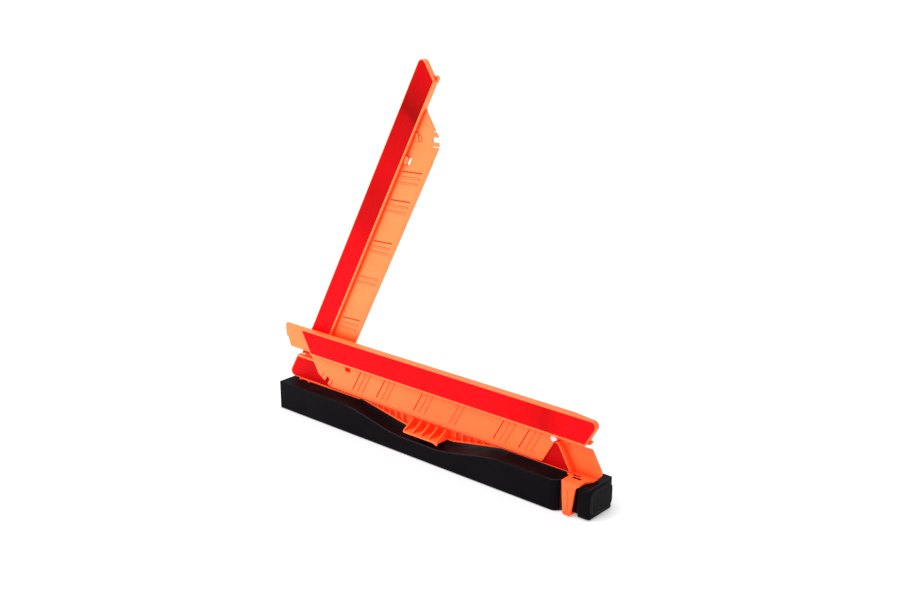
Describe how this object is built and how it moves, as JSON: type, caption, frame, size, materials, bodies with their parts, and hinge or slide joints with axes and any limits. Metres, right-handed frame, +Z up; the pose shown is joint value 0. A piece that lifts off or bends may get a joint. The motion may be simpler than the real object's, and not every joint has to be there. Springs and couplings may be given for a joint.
{
  "type": "folding warning triangle",
  "caption": "Folding roadside warning triangle: red reflector arms with orange flanges hinged on a long black weighted base, left arm raised and right arm folded.",
  "frame": {"origin": "on the floor, on the axis that the triangle swivels about, in the middle of the base", "axes": "+X along the base towards its latch end, -Y the front of the folded triangle, +Z up"},
  "size_m": [0.4697, 0.049, 0.4439],
  "materials": {
    "black_plastic": "semi-matt moulded plastic, black",
    "orange_plastic": "fluorescent orange moulded plastic, satin",
    "red_lens": "clear-faced prismatic reflector plastic, red",
    "bright_steel": "zinc-plated steel",
    "spring_steel": "dark spring steel",
    "nylon": "natural nylon",
    "ballast_iron": "rough cast iron",
    "pad_rubber": "soft black rubber"
  },
  "bodies": {
    "base": {"base_shell": "black_plastic", "base_bottom_cover": "black_plastic", "cover_screws": "bright_steel", "anti_slip_pads": "pad_rubber", "ballast_left": "ballast_iron", "ballast_right": "ballast_iron", "swivel_bush": "nylon"},
    "bottom_arm": {"bottom_arm_frame": "orange_plastic", "bottom_lens_front": "red_lens", "bottom_lens_back": "red_lens", "swivel_washer": "bright_steel", "swivel_spring": "spring_steel", "swivel_screw": "bright_steel", "right_hinge_rivet": "bright_steel", "left_hinge_rivet": "bright_steel"},
    "right_arm": {"right_arm_frame": "orange_plastic", "right_lens_front": "red_lens", "right_lens_back": "red_lens", "right_hinge_washer": "nylon"},
    "left_arm": {"left_arm_frame": "orange_plastic", "left_lens_front": "red_lens", "left_lens_back": "red_lens", "left_hinge_washer": "nylon"}
  },
  "joints": [
    {"name": "base_swivel", "type": "hinge", "parent": "base", "child": "bottom_arm", "pos_m": [0, 0, 0.02], "axis": [0, 0, 1], "range_deg": [-90, 0]},
    {"name": "right_arm_hinge", "type": "hinge", "parent": "bottom_arm", "child": "right_arm", "pos_m": [0.1758, 0, 0.0723], "axis": [0, 1, 0], "range_deg": [0, 60]},
    {"name": "left_arm_hinge", "type": "hinge", "parent": "bottom_arm", "child": "left_arm", "pos_m": [-0.1758, 0, 0.0723], "axis": [0, 1, 0], "range_deg": [0, 62]}
  ]
}
